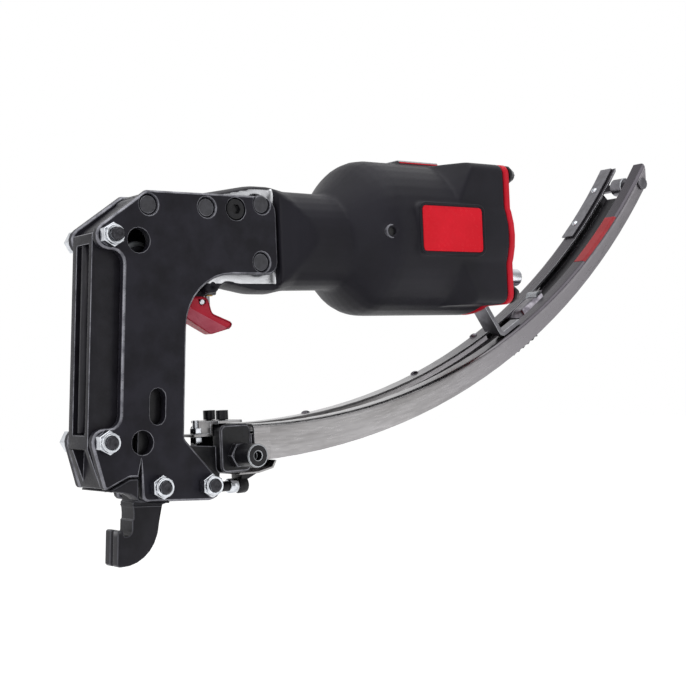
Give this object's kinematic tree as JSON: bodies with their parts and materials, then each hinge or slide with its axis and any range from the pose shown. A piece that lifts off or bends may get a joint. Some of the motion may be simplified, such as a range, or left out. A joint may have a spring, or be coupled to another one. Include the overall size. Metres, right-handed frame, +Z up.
{
  "type": "pneumatic clinch clip tool",
  "caption": "Air-driven hand tool with an anvil hook between side plates and a curved clip magazine under its cylinder, for clinching wire clips.",
  "frame": {"origin": "on the piston rod's line, where the hand takes the neck behind the side plates", "axes": "+X from the nose to the air inlet, +Z up, Y across the side plates"},
  "size_m": [0.3712, 0.0808, 0.201],
  "materials": {
    "cast_black": "cast and powder coated matt black, fine texture",
    "black_oxide": "black oxide steel plate, satin",
    "cast_iron_black": "black coated, matt",
    "red_paint": "red painted cap, satin",
    "red_plastic": "moulded red plastic",
    "red_label": "bare red plate",
    "white_label": "bare white plate",
    "zinc": "bright zinc plated",
    "black_steel": "black oxide, satin",
    "ground_steel": "ground steel",
    "stainless": "brushed stainless sheet",
    "dark_steel": "dark hardened steel",
    "aluminium": "turned aluminium",
    "brass": "turned brass",
    "rubber": "black nitrile",
    "spring_steel": "bright spring wire"
  },
  "bodies": {
    "tool_body": {"housing": "cast_black", "end_cap": "red_paint", "cap_screw_1": "black_steel", "cap_screw_2": "black_steel", "cap_screw_3": "black_steel", "cap_screw_4": "black_steel", "air_inlet": "zinc", "badge_plate": "red_label", "top_label": "white_label", "bumper": "rubber", "side_plate_left": "black_oxide", "side_plate_right": "black_oxide", "front_guide": "cast_iron_black", "top_block": "black_oxide", "anvil_hook": "black_oxide", "frame_bolt_upper": "zinc", "frame_bolt_lower": "zinc", "frame_bolt_heel": "zinc", "frame_bolt_toe": "zinc", "lock_nut_upper": "zinc", "lock_nut_lower": "zinc", "lock_nut_heel": "zinc", "lock_nut_toe": "zinc", "dowel_pin_front": "zinc", "dowel_pin_middle": "zinc", "dowel_pin_rear": "zinc", "dowel_pin_low": "zinc", "frame_screw": "black_steel", "crank_pin": "ground_steel", "driver_spring": "spring_steel", "trigger_pin": "zinc", "valve_body": "brass", "valve_spring": "spring_steel", "mount_block": "black_steel", "block_screw_left": "black_steel", "block_screw_right": "black_steel", "clamp_strip": "stainless", "latch_base": "zinc", "trim_screw": "zinc", "magazine_rail_left": "stainless", "magazine_rail_right": "stainless", "clip_rail": "dark_steel", "end_pin": "zinc", "end_cover": "stainless", "support_bracket": "stainless"},
    "piston_body": {"piston": "aluminium", "piston_seal": "rubber", "piston_rod": "ground_steel"},
    "crank_body": {"bell_crank": "ground_steel", "nose_roller_pin": "black_steel", "rod_roller_pin": "black_steel"},
    "nose_roller_body": {"nose_roller": "ground_steel"},
    "rod_roller_body": {"rod_roller": "ground_steel"},
    "driver_body": {"driver": "ground_steel"},
    "trigger_body": {"trigger": "red_plastic"},
    "valve_stem_body": {"valve_stem": "ground_steel"},
    "pusher_body": {"pusher": "black_steel", "pusher_spring": "spring_steel"},
    "latch_body": {"latch_plunger": "aluminium"},
    "end_roller_body": {"end_roller": "aluminium"}
  },
  "joints": [
    {"name": "piston_slide", "type": "slide", "parent": "tool_body", "child": "piston_body", "axis": [-1, 0, 0], "range_m": [0, 0.02], "stiffness_N_per_m": 2500},
    {"name": "crank_turn", "type": "hinge", "parent": "tool_body", "child": "crank_body", "pos_m": [-0.047, 0, -0.02], "axis": [0, -1, 0], "range_deg": [0, 60]},
    {"name": "driver_slide", "type": "slide", "parent": "tool_body", "child": "driver_body", "axis": [-0.066, 0, -0.9978], "range_m": [0, 0.02945], "deforming": ["driver_spring"]},
    {"name": "nose_roller_spin", "type": "hinge", "parent": "crank_body", "child": "nose_roller_body", "pos_m": [-0.075, 0, -0.012], "axis": [0, 1, 0], "continuous": true},
    {"name": "rod_roller_spin", "type": "hinge", "parent": "crank_body", "child": "rod_roller_body", "pos_m": [-0.037, 0, -0.0027], "axis": [0, 1, 0], "continuous": true},
    {"name": "trigger_pull", "type": "hinge", "parent": "tool_body", "child": "trigger_body", "pos_m": [-0.0444, 0, -0.0321], "axis": [0, -1, 0], "range_deg": [0, 14], "stiffness_Nm_per_rad": 0.3, "springref_deg": -11.46},
    {"name": "valve_lift", "type": "slide", "parent": "tool_body", "child": "valve_stem_body", "axis": [0, 0, 1], "range_m": [0, 0.0016], "deforming": ["valve_spring"]},
    {"name": "pusher_travel", "type": "hinge", "parent": "tool_body", "child": "pusher_body", "pos_m": [-0.015, 0, 0.2565], "axis": [0, 1, 0], "range_deg": [-14, 29]},
    {"name": "latch_pull", "type": "slide", "parent": "tool_body", "child": "latch_body", "axis": [0, -1, 0], "range_m": [0, 0.006], "stiffness_N_per_m": 400, "springref_m": -0.002},
    {"name": "end_roller_spin", "type": "hinge", "parent": "tool_body", "child": "end_roller_body", "pos_m": [0.25944, 0, 0.03784], "axis": [0, 1, 0], "continuous": true}
  ],
  "couplings": [
    {"joint": "crank_turn", "follows": "piston_slide", "rad_per_m": 52.35},
    {"joint": "driver_slide", "follows": "piston_slide", "ratio": 1.472},
    {"joint": "valve_lift", "follows": "trigger_pull", "m_per_rad": 0.0065}
  ]
}
